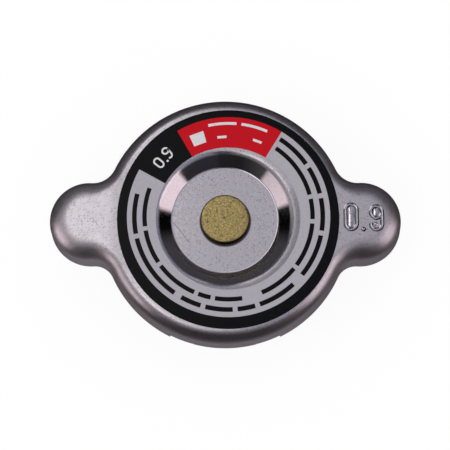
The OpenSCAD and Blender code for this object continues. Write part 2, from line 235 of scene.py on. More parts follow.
def new_material(name):
    """A new material with its node tree and main shader."""
    material = bpy.data.materials.new(name)
    material.use_nodes = True
    return material, material.node_tree, material.node_tree.nodes["Principled BSDF"]


def join(tree, source, target):
    """Links an output to an input."""
    tree.links.new(source, target)


def vector_step(tree, operation, first, second=None):
    """A Vector Math node, where the second input is a vector output or a plain tuple."""
    node = tree.nodes.new("ShaderNodeVectorMath")
    node.operation = operation
    join(tree, first, node.inputs[0])
    if isinstance(second, tuple):
        node.inputs[1].default_value = second
    elif second:
        join(tree, second, node.inputs[1])
    return node.outputs


def millimetres(tree):
    """Coordinates in the part's own frame, in millimetres."""
    place = tree.nodes.new("ShaderNodeTexCoord")
    return vector_step(tree, "MULTIPLY", place.outputs["Object"], (1 / MM, 1 / MM, 1 / MM))["Vector"]


def split(tree, vector):
    """The three parts of a vector."""
    node = tree.nodes.new("ShaderNodeSeparateXYZ")
    join(tree, vector, node.inputs["Vector"])
    return node.outputs["X"], node.outputs["Y"], node.outputs["Z"]


def noise(tree, place, scale, detail, stretch=None):
    """Noise of so many cells to the millimetre."""
    if stretch:
        place = vector_step(tree, "MULTIPLY", place, stretch)["Vector"]
    node = tree.nodes.new("ShaderNodeTexNoise")
    node.inputs["Scale"].default_value = scale
    node.inputs["Detail"].default_value = detail
    join(tree, place, node.inputs["Vector"])
    return node.outputs["Fac"]


def span(tree, value, low, high, to_low=0.0, to_high=1.0, shape="SMOOTHSTEP"):
    """Maps a value from one span to another, smoothly unless told otherwise."""
    node = tree.nodes.new("ShaderNodeMapRange")
    node.interpolation_type = shape
    node.inputs["From Min"].default_value = low
    node.inputs["From Max"].default_value = high
    node.inputs["To Min"].default_value = to_low
    node.inputs["To Max"].default_value = to_high
    join(tree, value, node.inputs["Value"])
    return node.outputs["Result"]


def combine(tree, operation, first, second=0.0):
    """A Math node on two values, where the second may be a plain number."""
    node = tree.nodes.new("ShaderNodeMath")
    node.operation = operation
    join(tree, first, node.inputs[0])
    if isinstance(second, (int, float)):
        node.inputs[1].default_value = second
    else:
        join(tree, second, node.inputs[1])
    return node.outputs["Value"]


def times(tree, first, *others):
    """The product of values."""
    for other in others:
        first = combine(tree, "MULTIPLY", first, other)
    return first


def total(tree, first, *others):
    """The sum of values."""
    for other in others:
        first = combine(tree, "ADD", first, other)
    return first


def band(tree, value, start, full, still_full, end):
    """1 between two limits, with a soft fade to 0 outside them."""
    return times(tree, span(tree, value, start, full), span(tree, value, end, still_full))


def distance_to(tree, place, centre):
    """Distance of a place from a point, across the top."""
    flat = vector_step(tree, "MULTIPLY", place, (1, 1, 0))["Vector"]
    return vector_step(tree, "DISTANCE", flat, (*centre, 0))["Value"]


def blend_colour(tree, factor, first, second):
    """Mixes two colours, where the first may be the output of another mix."""
    node = tree.nodes.new("ShaderNodeMix")
    node.data_type = "RGBA"
    join(tree, factor, node.inputs["Factor"])
    if isinstance(first, tuple):
        node.inputs[MIX_FIRST].default_value = (*first, 1)
    else:
        join(tree, first, node.inputs[MIX_FIRST])
    node.inputs[MIX_SECOND].default_value = (*second, 1)
    return node.outputs[MIX_RESULT]


def bump(tree, shader, height, depth):
    """Small relief, with its depth in millimetres."""
    node = tree.nodes.new("ShaderNodeBump")
    node.inputs["Strength"].default_value = 1.0
    node.inputs["Distance"].default_value = depth * MM
    join(tree, height, node.inputs["Height"])
    join(tree, node.outputs["Normal"], shader.inputs["Normal"])


def speck_mask(tree, place, per_mm, share, size):
    """Separate small dots: cells to the millimetre, share of cells with one, and dot size in cells."""
    fade = 0.02
    cells = tree.nodes.new("ShaderNodeTexVoronoi")
    cells.inputs["Scale"].default_value = per_mm
    join(tree, place, cells.inputs["Vector"])
    dots = span(tree, cells.outputs["Distance"], size, 0.5 * size)
    chosen = span(tree, split(tree, cells.outputs["Color"])[0], 1 - share, 1 - share + fade)
    return times(tree, dots, chosen)


def scratch_mask(tree, place, start, end, width):
    """1 along a thin straight scratch on the top of the shell."""
    fade = 0.6
    core = 0.3 * width
    start = Vector(start)
    run = Vector(end) - start
    mapping = tree.nodes.new("ShaderNodeMapping")
    mapping.vector_type = "TEXTURE"
    mapping.inputs["Location"].default_value = (*start, 0)
    mapping.inputs["Rotation"].default_value = (0, 0, math.atan2(run.y, run.x))
    join(tree, place, mapping.inputs["Vector"])
    x, y, z = split(tree, mapping.outputs["Vector"])
    half = run.length / 2
    along = combine(tree, "ABSOLUTE", combine(tree, "SUBTRACT", x, half))
    across = combine(tree, "ABSOLUTE", y)
    return times(tree, span(tree, along, half, half - fade), span(tree, across, width, core))


# Materials

STEEL = (0.70, 0.67, 0.71)
STEEL_WARM = (0.69, 0.65, 0.68)
# Painted light: the -X wing is coloured lighter
STEEL_LIT_WING = (0.88, 0.84, 0.88)
# Painted shade on the front of the dish's rim
STEEL_RIM_SHADE = (0.3, 0.29, 0.32)
STEEL_SPOT = (0.17, 0.145, 0.12)
STEEL_SHADE = (0.5, 0.48, 0.5)
# Painted shade, with some dirt, round the rivet and on the rivet's side
BRASS_SHADE_AND_DIRT = (0.03, 0.022, 0.015)
# Painted glints on brass
BRASS_BRIGHT = (0.9, 0.745, 0.27)
# Painted shade, with some dirt, on one side of the wing number's grooves
NUMBER_SHADE_AND_DIRT = (0.02, 0.018, 0.018)

# Where the plating changes, in millimetres. A band is where it starts, is full, is still full and ends.
WALL_BAND = (10.9, 11.5, 15.2, 15.8)
FOOT_BAND = (11.2, 11.5, 12.2, 13.0)
RIM_ROUGH_BAND = (14.3, 15.0, 16.0, 16.6)
# Painted shade on the dish's rim, at the front
RIM_SHADE_BAND = (14.4, 15.2, 16.0, 16.6)
SHEET_FADE = (14.2, 15.4)
WING_FADE = (18, 22)
# The painted light on the -X wing fades in from -22.5 to -26 mm along X
LIT_WING_FADE = (-22.5, -26)
FOOT_SIDE = (-3.5, -8.5)
RIM_SHADE_SIDE = (9, 2)
DISH_FLOOR_FADE = (12, 11)
SCRATCHES = [((-11.5, -0.2), (-7.2, -5.4)), ((-28.6, 0.3), (-26.9, -1.9)), ((-25.7, 9.6), (-24.0, 11.0))]
SCRATCH_W = 0.1
# A dark ring round the rivet, thicker at the front: painted contact shadow and some dirt
RIVET_SHADE_DIRT_AT = (0.1, -0.32)
RIVET_SHADE_DIRT_R = 5.75
RIVET_SHADE_DIRT_FADE = 0.35
RIVET_SIDE_R = 5.2
# The way faced by the painted shade in the wing number's grooves
SHADE_WAY = (-0.75, 0.66, 0.0)

# Roughness of the plating, and what is added to it or taken off
DISH_ROUGH = 0.12
SHEET_ROUGH = 0.34
UNEVEN_ROUGH = 0.03
WING_MORE = 0.08
FOOT_MORE = 0.24
RIM_MORE = 0.1
SPECK_MORE = 0.08
WALL_LESS = 0.04

# Specks as cells to the millimetre, share of cells and dot size, and how dark they are
FINE_SPECKS = (3.1, 0.36, 0.44)
COARSE_SPECKS = (1.7, 0.24, 0.36)
FINE_DARK = 0.48
COARSE_DARK = 0.56
MOTTLE_DARK = 0.17
# How dark the painted shade on the rim's front is
RIM_SHADE_DARK = 0.7
SCRATCH_DARK = 0.6
# How dark the painted shadow and dirt round the rivet are
RIVET_SHADE_DIRT_DARK = 0.95


def plated_roughness(tree, place):
    """Polished on the dish's wall, duller on its floor, low foot and rim, and dullest on the wings."""
    x, y, z = split(tree, place)
    r = distance_to(tree, place, (0, 0))
    sunk = span(tree, z, Z_TOP - 0.02, Z_TOP - 0.2)
    return total(
        tree,
        span(tree, r, *SHEET_FADE, DISH_ROUGH, SHEET_ROUGH),
        span(tree, noise(tree, place, 1.4, 4), 0.3, 0.7, -UNEVEN_ROUGH, UNEVEN_ROUGH),
        span(tree, combine(tree, "ABSOLUTE", x), *WING_FADE, 0, WING_MORE),
        times(tree, band(tree, r, *FOOT_BAND), span(tree, y, *FOOT_SIDE), FOOT_MORE),
        times(tree, band(tree, r, *RIM_ROUGH_BAND), RIM_MORE),
        times(tree, band(tree, r, *WALL_BAND), sunk, -WALL_LESS))


def plated_specks(tree, place):
    """Dark specks on the flats and the dish's floor, more of them in some patches."""
    x, y, z = split(tree, place)
    top = span(tree, z, Z_TOP - 1, Z_TOP - 0.2)
    dish_floor = span(tree, distance_to(tree, place, (0, 0)), *DISH_FLOOR_FADE)
    fine = times(tree, speck_mask(tree, place, *FINE_SPECKS), FINE_DARK)
    coarse = times(tree, speck_mask(tree, place, *COARSE_SPECKS), COARSE_DARK)
    patches = span(tree, noise(tree, place, 0.12, 2), 0.35, 0.65, 0.7, 1.0)
    return times(tree, combine(tree, "MAXIMUM", fine, coarse), patches,
                 combine(tree, "MAXIMUM", top, dish_floor))


def plated_colour(tree, place, specks):
    """Tarnish, mottle, specks, scratches; painted light on the -X wing; painted shade on the rim's front and,
    with dirt, round the rivet.
    """
    x, y, z = split(tree, place)
    r = distance_to(tree, place, (0, 0))
    tarnish = span(tree, noise(tree, place, 0.18, 4), 0.35, 0.7)
    # Painted shade on the front of the dish's rim
    rim = times(tree, band(tree, r, *RIM_SHADE_BAND), span(tree, y, *RIM_SHADE_SIDE), RIM_SHADE_DARK)
    mottle = times(tree, span(tree, noise(tree, place, 2.4, 3), 0.5, 0.75), MOTTLE_DARK)
    colour = blend_colour(tree, tarnish, STEEL, STEEL_WARM)
    # Painted light: the -X wing is coloured lighter
    colour = blend_colour(tree, span(tree, x, *LIT_WING_FADE), colour, STEEL_LIT_WING)
    colour = blend_colour(tree, rim, colour, STEEL_RIM_SHADE)
    colour = blend_colour(tree, mottle, colour, STEEL_SPOT)
    colour = blend_colour(tree, specks, colour, STEEL_SPOT)
    for start, end in SCRATCHES:
        mask = times(tree, scratch_mask(tree, place, start, end, SCRATCH_W), SCRATCH_DARK)
        colour = blend_colour(tree, mask, colour, STEEL_SPOT)
    # Painted contact shadow and some dirt in a ring round the rivet, thicker at the front
    near_rivet = distance_to(tree, place, RIVET_SHADE_DIRT_AT)
    shade_and_dirt = span(tree, near_rivet, RIVET_SHADE_DIRT_R, RIVET_SHADE_DIRT_R - RIVET_SHADE_DIRT_FADE, 0, RIVET_SHADE_DIRT_DARK)
    return blend_colour(tree, shade_and_dirt, colour, BRASS_SHADE_AND_DIRT)


def plated_steel():
    """Dull plating of the shell."""
    material, tree, shader = new_material("plated_steel_sheet")
    place = millimetres(tree)
    specks = plated_specks(tree, place)
    join(tree, plated_colour(tree, place, specks), shader.inputs["Base Color"])
    shader.inputs["Metallic"].default_value = 1.0
    rough = combine(tree, "ADD", plated_roughness(tree, place), times(tree, specks, SPECK_MORE))
    join(tree, rough, shader.inputs["Roughness"])
    waves = times(tree, noise(tree, place, 0.25, 2), 3.0)
    bump(tree, shader, combine(tree, "ADD", noise(tree, place, 3.0, 3), waves), 0.0016)
    return material


def satin_steel(name, colour, dark, roughness):
    """Rolled or drawn bright steel with fine streaks."""
    material, tree, shader = new_material(name)
    place = millimetres(tree)
    streaks = noise(tree, place, 1.2, 4, (1, 1, 9))
    join(tree, blend_colour(tree, span(tree, streaks, 0.35, 0.75), colour, dark), shader.inputs["Base Color"])
    shader.inputs["Metallic"].default_value = 1.0
    join(tree, span(tree, streaks, 0.3, 0.7, roughness, roughness + 0.14), shader.inputs["Roughness"])
    bump(tree, shader, streaks, 0.004)
    return material


def pressed_number():
    """Bright pressed steel with painted shade, and some uneven dirt, on the lower right side of each groove.
    """
    material, tree, shader = new_material("pressed_number")
    place = millimetres(tree)
    normal = tree.nodes.new("ShaderNodeNewGeometry").outputs["Normal"]
    # Painted shade and uneven dirt on the groove walls that face up and to the left
    facing = vector_step(tree, "DOT_PRODUCT", normal, SHADE_WAY)["Value"]
    uneven = span(tree, noise(tree, place, 2.0, 3), 0.25, 0.5, 0.75, 1)
    shade_and_dirt = times(tree, span(tree, facing, 0.06, 0.3), uneven)
    colour = blend_colour(tree, span(tree, noise(tree, place, 3.0, 3), 0.4, 0.7), STEEL, STEEL_SHADE)
    join(tree, blend_colour(tree, shade_and_dirt, colour, NUMBER_SHADE_AND_DIRT), shader.inputs["Base Color"])
    shader.inputs["Metallic"].default_value = 1.0
    join(tree, span(tree, shade_and_dirt, 0, 1, 0.14, 0.5), shader.inputs["Roughness"])
    return material


def brass(name, colour, dull, spot, roughness, fineness, spots, shade_dirt_r=None):
    """Brass with dull crystals, painted glints, dark specks and, where a side radius is given, painted shade
    with some dirt on its side.
    """
    material, tree, shader = new_material(name)
    place = millimetres(tree)
    crystals = span(tree, noise(tree, place, 0.8 * fineness, 5), 0.4, 0.6)
    # Painted glints: bright spots in the colour in place of highlights
    glints = times(tree, span(tree, noise(tree, place, 1.3 * fineness, 2), 0.54, 0.64), spots)
    specks = times(tree, span(tree, noise(tree, place, 0.9 * fineness, 2), 0.58, 0.7), spots)
    mixed = blend_colour(tree, crystals, colour, dull)
    mixed = blend_colour(tree, glints, mixed, BRASS_BRIGHT)
    mixed = blend_colour(tree, specks, mixed, spot)
    # Painted shade and some dirt on the rivet's side, beyond the given radius
    if shade_dirt_r:
        shade_and_dirt = span(tree, distance_to(tree, place, (0, 0)), shade_dirt_r - 0.2, shade_dirt_r)
        mixed = blend_colour(tree, shade_and_dirt, mixed, BRASS_SHADE_AND_DIRT)
    join(tree, mixed, shader.inputs["Base Color"])
    shader.inputs["Metallic"].default_value = 1.0
    join(tree, span(tree, crystals, 0, 1, roughness, roughness + 0.12), shader.inputs["Roughness"])
    bump(tree, shader, noise(tree, place, fineness, 3), 0.02)
    return material


def rubber():
    """Moulded black rubber with a dusty bloom."""
    material, tree, shader = new_material("moulded_rubber")
    place = millimetres(tree)
    bloom = span(tree, noise(tree, place, 0.35, 5), 0.4, 0.75)
    join(tree, blend_colour(tree, bloom, (0.018, 0.018, 0.019), (0.045, 0.044, 0.043)),
         shader.inputs["Base Color"])
    join(tree, span(tree, bloom, 0, 1, 0.55, 0.75), shader.inputs["Roughness"])
    bump(tree, shader, noise(tree, place, 5.0, 4), 0.01)
    return material


def ink(name, colour, worn):
    """A printed field on the label's film, slightly mottled."""
    material, tree, shader = new_material(name)
    place = millimetres(tree)
    mottle = span(tree, noise(tree, place, 1.6, 5), 0.4, 0.75)
    join(tree, blend_colour(tree, mottle, colour, worn), shader.inputs["Base Color"])
    join(tree, span(tree, mottle, 0, 1, 0.3, 0.42), shader.inputs["Roughness"])
    shader.inputs["Specular IOR Level"].default_value = 0.1
    bump(tree, shader, noise(tree, place, 4.0, 3), 0.002)
    return material


steel = plated_steel()
sheet_steel = satin_steel("satin_sheet", (0.68, 0.68, 0.66), (0.5, 0.5, 0.49), 0.22)
dome_steel = satin_steel("pressed_dome", (0.68, 0.65, 0.69), STEEL_SHADE, 0.14)
pressed_steel = pressed_number()
wire_steel = satin_steel("drawn_wire", (0.55, 0.55, 0.55), (0.36, 0.36, 0.36), 0.25)
rivet_brass = brass("rivet_brass", (0.6, 0.47, 0.17), (0.45, 0.36, 0.18), (0.12, 0.085, 0.06),
                    roughness=0.42, fineness=2.6, spots=0.7, shade_dirt_r=RIVET_SIDE_R)
valve_brass = brass("valve_brass", (0.76, 0.57, 0.27), (0.62, 0.46, 0.22), (0.3, 0.2, 0.1),
                    roughness=0.24, fineness=1.2, spots=0.3)
black_rubber = rubber()
black_ink = ink("black_print", (0.002, 0.0023, 0.0028), (0.004, 0.0043, 0.0048))
red_ink = ink("red_print", (0.47, 0.003, 0.01), (0.42, 0.004, 0.012))
grey_ink = ink("grey_print", (0.37, 0.35, 0.395), (0.34, 0.325, 0.36))
white_ink = ink("white_print", (0.62, 0.6, 0.62), (0.55, 0.54, 0.56))


# Shell

PLAIN = 0
RELIEF = 1
LUG = 2
EDGE_A = 0.2
Station = namedtuple("Station", "centre r side angle kind crown")


def half_outline():
    """Stations along half of the outline, from the +X wing. The crown is 1 on a wing and 0 on the skirt."""
    skirt_reach = SKIRT_R + WING_HOLLOW_R
    wing_reach = WING_R + WING_HOLLOW_R
    hollow_x = (skirt_reach ** 2 - wing_reach ** 2 + WING_X ** 2) / (2 * WING_X)
    hollow_y = math.sqrt(skirt_reach ** 2 - hollow_x ** 2)
    skirt_a = math.degrees(math.atan2(hollow_y, hollow_x))
    wing_a = math.degrees(math.atan2(hollow_y, hollow_x - WING_X))
    lug_a = math.degrees(LUG_W / 2 / SKIRT_R)
    relief_a = lug_a + math.degrees(RELIEF_W / SKIRT_R)

    def run(centre, r, start, end, steps, kind, crown):
        turn = (end - start) / steps
        return [Station(Vector(centre), r, 1, start + turn * i, kind, crown) for i in range(steps + 1)]

    def skirt(start, end, steps, kind):
        return run((0, 0), SKIRT_R, start, end, steps, kind, 0)

    def hollow(centre, start, end, crown_from, crown_to):
        shares = [i / HOLLOW_STEPS for i in range(1, HOLLOW_STEPS)]
        return [Station(Vector(centre), WING_HOLLOW_R, -1, start + (end - start) * t, PLAIN,
                        (crown_from + (crown_to - crown_from) * t) ** 2) for t in shares]

    return (run((WING_X, 0), WING_R, -wing_a, wing_a, WING_STEPS, PLAIN, 1)
            + hollow((hollow_x, hollow_y), 180 + wing_a, 180 + skirt_a, 1, 0)
            + skirt(skirt_a, 90 - relief_a, SKIRT_STEPS, PLAIN)
            + skirt(90 - relief_a + EDGE_A, 90 - lug_a - EDGE_A, RELIEF_STEPS, RELIEF)
            + skirt(90 - lug_a, 90 + lug_a, LUG_STEPS, LUG)
            + skirt(90 + lug_a + EDGE_A, 90 + relief_a - EDGE_A, RELIEF_STEPS, RELIEF)
            + skirt(90 + relief_a, 180 - skirt_a, SKIRT_STEPS, PLAIN)
            + hollow((-hollow_x, hollow_y), -skirt_a, -wing_a, 0, 1))


def outline():
    """The whole outline: half of it, and the same turned about the axis."""
    half = half_outline()
    return half + [s._replace(centre=-s.centre, angle=s.angle + 180) for s in half]


def inset_point(station, inset, z):
    """A point at a station, so far in from the outline, at a level."""
    p = station.centre + (station.r - station.side * inset) * direction(station.angle)
    return (p.x, p.y, z)


def lean_at(z):
    """The skirt's inset at a level, from its lean."""
    return SKIRT_LEAN * (z - Z_SKIRT) / (SKIRT_H - SHOULDER_H)


def shoulder(inset, w, h, z):
    """The rounded shoulder, from the flat of the top down to the wall."""
    turns = [math.radians(90 * (1 - i / SHOULDER_STEPS)) for i in range(SHOULDER_STEPS + 1)]
    return [Vector((inset + w * (1 - math.cos(a)), z - h * (1 - math.sin(a)))) for a in turns]


def wall(z):
    """Straight skirt from below the shoulder down to z, round its edge and up the inside."""
    start = Z_TOP - SHOULDER_H
    levels = [start + (z + EDGE_R - start) * i / WALL_STEPS for i in range(1, WALL_STEPS + 1)]
    inset = lean_at(z)
    down = [Vector((lean_at(level), level)) for level in levels]
    edge = (arc((inset + EDGE_R, z + EDGE_R), EDGE_R, 180, 270, EDGE_STEPS)[1:]
            + arc((inset + SHELL_T - EDGE_R, z + EDGE_R), EDGE_R, 270, 360, EDGE_STEPS)[:-1])
    return down + edge + [p + Vector((SHELL_T, 0)) for p in reversed(down)]


def lug_wall():
    """Skirt that bends in to a locking lug."""
    z_bend = Z_LUG + LUG_BEND_R
    centre = (lean_at(z_bend) + LUG_BEND_R, z_bend)
    down = arc(centre, LUG_BEND_R, 180, 270, WALL_STEPS - 1)
    edge = (arc((LUG_REACH - EDGE_R, Z_LUG + EDGE_R), EDGE_R, 270, 360, EDGE_STEPS)[:-1]
            + arc((LUG_REACH - EDGE_R, Z_LUG + SHELL_T - EDGE_R), EDGE_R, 0, 90, EDGE_STEPS)[1:])
    return down + edge + list(reversed(arc(centre, LUG_BEND_R - SHELL_T, 180, 270, WALL_STEPS - 1)))


def section(station, walls):
    """The sheet's section at a station: flat edge, shoulder, wall and the same again inside."""
    w = SHOULDER_W + (WING_SHOULDER_W - SHOULDER_W) * station.crown
    outer = shoulder(SKIRT_LEAN, w, SHOULDER_H, Z_TOP)
    inner = shoulder(SKIRT_LEAN + SHELL_T, w - SHELL_T, SHOULDER_H - SHELL_T, Z_TOP - SHELL_T)
    flat = Vector((FLAT_MARGIN, 0))
    return [outer[0] + flat, *outer, *walls[station.kind], *reversed(inner), inner[0] + flat]


def dish_line():
    """Middle line of the dish, from the flat of the top in to the rivet hole."""
    lead = 0.3
    return sheet_line((DISH_TOP_R + lead, Z_TOP - SHELL_T / 2), 180, [
        (lead, 0),
        (DISH_RIM_BEND, DISH_SLOPE),
        (DISH_WALL, 0),
        (DISH_FLOOR_BEND, -DISH_SLOPE),
        (FLAT_MARGIN, 0),
        (DISH_FLOOR_D / 2 - RIVET_HOLE_R - FLAT_MARGIN, 0)])


def shell_mesh():
    """The whole sheet as one closed skin: shoulder, skirt and lugs, underside, rivet hole and dish."""
    stations = outline()
    walls = [wall(Z_SKIRT), wall(Z_SKIRT + RELIEF_H), lug_wall()]
    sections = [section(s, walls) for s in stations]
    rows = [[inset_point(s, line[i].x, line[i].y) for s, line in zip(stations, sections)]
            for i in range(len(sections[0]))]
    rays = [Vector(p[:2]).normalized() for p in rows[0]]
    line = dish_line()
    half = SHELL_T / 2
    below = [p + half * direction(heading + 90) for p, heading in line]
    above = [p - half * direction(heading + 90) for p, heading in line]
    for p in below + list(reversed(above)):
        rows.append([(p.x * ray.x, p.x * ray.y, p.y) for ray in rays])
    return loft(rows)


# Number pressed into the +X wing

NUMBER_HALF_W = 1.2
ZERO_HALF_H = 2.7
NINE_HALF_H = 2.55
NINE_LOOP_H = 1.3
GROOVE_HALF_W = 0.44
GROOVE_R = 0.6
GROOVE_LIFT = math.sqrt(GROOVE_R ** 2 - GROOVE_HALF_W ** 2)
DOT_R = 0.68
DOME_RISE = 0.14
ZERO_AT = (27.05, 0.2)
DOT_AT = (29.65, -2.47)
NINE_AT = (32.45, 0)
HOOK_DOME = (0.5, 0.45)
HOOK_DOME_SHIFT = (-0.2, -1.3)
STROKE_STEPS = 24
LOOP_STEPS = 40
BALL_STEPS = 16
DOME_STEPS = 8
ROUND_STEPS = 32


def zero_path(w, h):
    """A tall rounded nought, closed."""
    lower = arc((0, w - h), w, 180, 360, STROKE_STEPS)
    upper = arc((0, h - w), w, 0, 180, STROKE_STEPS)
    return lower + upper + lower[:1]


def nine_tail(w, h, loop_h, hook_from):
    """A nine's stroke from the end of its hook up to its loop."""
    return arc((0, w - h), w, hook_from, 360, STROKE_STEPS) + [Vector((w, h - loop_h))]


def nine_loop(w, h, loop_h, turn):
    """A nine's loop, through an angle from its right side."""
    turns = [math.radians(turn * i / LOOP_STEPS) for i in range(LOOP_STEPS + 1)]
    return [Vector((w * math.cos(a), h - loop_h + loop_h * math.sin(a))) for a in turns]


def tube(path, closed):
    """A flat path thickened to a solid that presses a rounded groove."""
    sides = 24
    path = path[:-1] if closed else path
    last = len(path) - 1
    rows = []
    for i, p in enumerate(path):
        behind = path[i - 1] if closed else path[max(i - 1, 0)]
        ahead = path[(i + 1) % len(path)] if closed else path[min(i + 1, last)]
        across = Vector((behind.y - ahead.y, ahead.x - behind.x)).normalized()
        ring = [direction(360 * (k + 0.5) / sides) for k in range(sides)]
        spots = [(p + across * GROOVE_R * q.x, GROOVE_LIFT + GROOVE_R * q.y) for q in ring]
        rows.append([(s.x, s.y, z) for s, z in spots])
    points, faces = loft(rows, closed)
    ends = [] if closed else [tuple(range(sides)), tuple(range(last * sides, (last + 1) * sides))]
    return points, faces + ends


def ball(r):
    """A ball that presses a dot."""
    turns = [math.radians(180 * i / BALL_STEPS - 90) for i in range(BALL_STEPS + 1)]
    return lathe([(r * math.cos(a), GROOVE_LIFT + r * math.sin(a)) for a in turns], ROUND_STEPS)


def dome(w, h, rise):
    """A low oval dome."""
    shares = [i / DOME_STEPS for i in range(DOME_STEPS + 1)]
    turns = [direction(360 * i / ROUND_STEPS) for i in range(ROUND_STEPS)]
    return loft([[(w * t * d.x, h * t * d.y, rise * (1 - t * t)) for d in turns] for t in shares], False)


def wing_drop(x, y):
    """How far the crowned wing lies below its flat."""
    out = max(math.hypot(max(x - WING_X, 0), y) - WING_FLAT_R, 0)
    return SHOULDER_H * (1 - math.sqrt(1 - (out / WING_SHOULDER_W) ** 2))


def on_wing(mesh_data, at):
    """Sets a flat shape on to the +X wing."""
    points, faces = mesh_data
    spots = [(p[0] + at[0], p[1] + at[1], p[2] + Z_TOP) for p in points]
    return [(x, y, z - wing_drop(x, y)) for x, y, z in spots], faces


NINE = (NUMBER_HALF_W, NINE_HALF_H, NINE_LOOP_H)
zero_press = on_wing(tube(zero_path(NUMBER_HALF_W, ZERO_HALF_H), True), ZERO_AT)
dot_press = on_wing(ball(DOT_R), DOT_AT)
loop_press = on_wing(tube(nine_loop(*NINE, 360), True), NINE_AT)
tail_press = on_wing(tube(nine_tail(*NINE, 165), False), NINE_AT)
piece("shell_skin", "shell", shell_mesh(), [steel], replaces="shell",
      presses=(zero_press, dot_press, loop_press, tail_press), pressed=pressed_steel)

dome_w = NUMBER_HALF_W - GROOVE_HALF_W
piece("wing_number", "shell", merged(
    on_wing(dome(dome_w, ZERO_HALF_H - GROOVE_HALF_W, DOME_RISE), ZERO_AT),
    on_wing(dome(dome_w, NINE_LOOP_H - GROOVE_HALF_W, DOME_RISE),
            (NINE_AT[0], NINE_HALF_H - NINE_LOOP_H + NINE_AT[1])),
    on_wing(dome(*HOOK_DOME, DOME_RISE),
            (NINE_AT[0] + HOOK_DOME_SHIFT[0], NINE_AT[1] + HOOK_DOME_SHIFT[1]))), [dome_steel])


# Label

PRINT_LIFT = 0.012
FILM_TOP = LABEL_HIGH.z - PRINT_LIFT
FIELD_R = 21.76
FIELD_SHIFT = Vector((0.1, 0.46))
RED_FROM = 58.5
RED_TO = 120
BLACK_TO = 151
OUTER_ROW = (1.1, 2.1)
INNER_ROW = (3.3, 4.25)
RED_ROW = (1.1, 1.7)
BAR_GAP = 3
RED_BAR = (2.0, 0.55)
RED_BLOCK = (3.0, 2.6)
LABEL_STEP = 1.5
LABEL_STROKE = 0.38
LABEL_ZERO = (0.66, 1.15)
LABEL_NINE = (0.66, 1.24, 0.62)
LABEL_DOT = (0.44, 0.44)

# Radius and angle of what is printed in the red and black fields
RED_BAR_SPOTS = ((17.85, 94.3), (18.0, 69.4))
RED_BLOCK_SPOT = (18.6, 110.4)
LABEL_ZERO_SPOT = (19.2, 141.1)
LABEL_DOT_SPOT = (18.07, 136.3)
LABEL_NINE_SPOT = (19.4, 132.8)


def label_spot(r, angle, z):
    """A point on the label, in polar terms about its own centre."""
    p = r * direction(angle)
    return (LABEL_X + p.x, p.y, z)


def field_r(angle):
    """Inner radius of the black border, which sits a little off the label's centre."""
    return FIELD_R + FIELD_SHIFT.dot(direction(angle))


def label_mesh():
    """The film as one ring, with the print's fields as rows of its upper face."""
    fields = [(RED_FROM, RED_TO, 1), (RED_TO, BLACK_TO, 0), (BLACK_TO, 360 + RED_FROM, 2)]
    angles = []
    kinds = []
    for start, end, kind in fields:
        steps = math.ceil((end - start) / LABEL_STEP)
        angles += [start + (end - start) * i / steps for i in range(steps)]
        kinds += [kind] * steps
    rows = [
        [label_spot(LABEL_HOLE_R, a, Z_TOP) for a in angles],
        [label_spot(LABEL_HOLE_R, a, FILM_TOP) for a in angles],
        [label_spot(field_r(a), a, FILM_TOP) for a in angles],
        [label_spot(LABEL_R, a, FILM_TOP) for a in angles],
        [label_spot(LABEL_R, a, Z_TOP) for a in angles]]
    border = [0] * len(kinds)
    return loft(rows), kinds + kinds + border * 3


label_data, label_picks = label_mesh()
piece("label_film", "shell", label_data, [black_ink, red_ink, grey_ink],
      replaces="label", picks=label_picks)


def label_bar(row, start, end):
    """A printed bar along the ring, between two distances in from the black border."""
    count = max(1, math.ceil(abs(end - start) / LABEL_STEP))
    angles = [start + (end - start) * i / count for i in range(count + 1)]
    points = [label_spot(field_r(a) - d, a, FILM_TOP + PRINT_LIFT) for a in angles for d in row]
    faces = [(2 * i, 2 * i + 1, 2 * i + 3, 2 * i + 2) for i in range(count)]
    return points, faces


def bar_row(row, start, lengths):
    """A row of bars of given lengths in degrees, clockwise, with even gaps."""
    bars = []
    for length in lengths:
        bars.append(label_bar(row, start, start - length))
        start -= length + BAR_GAP
    return bars


def ribbon(path, half_width):
    """The two edges of a flat path as points, with the faces between them."""
    spots = []
    for i, p in enumerate(path):
        ahead = path[min(i + 1, len(path) - 1)] - path[max(i - 1, 0)]
        across = Vector((-ahead.y, ahead.x)).normalized() * half_width
        spots += [p - across, p + across]
    return spots, [(2 * i, 2 * i + 1, 2 * i + 3, 2 * i + 2) for i in range(len(path) - 1)]


def on_label(path, width, r, angle):
    """A flat stroke wrapped on to the ring: x runs clockwise along it and y outwards."""
    spots, faces = ribbon(path, width / 2)
    points = [label_spot(r + p.y, angle - math.degrees(p.x / r), FILM_TOP + PRINT_LIFT) for p in spots]
    return points, faces


def block(w, h, r, angle):
    """A plain printed block, w along the ring and h across it."""
    return on_label([Vector((-w / 2, 0)), Vector((w / 2, 0))], h, r, angle)


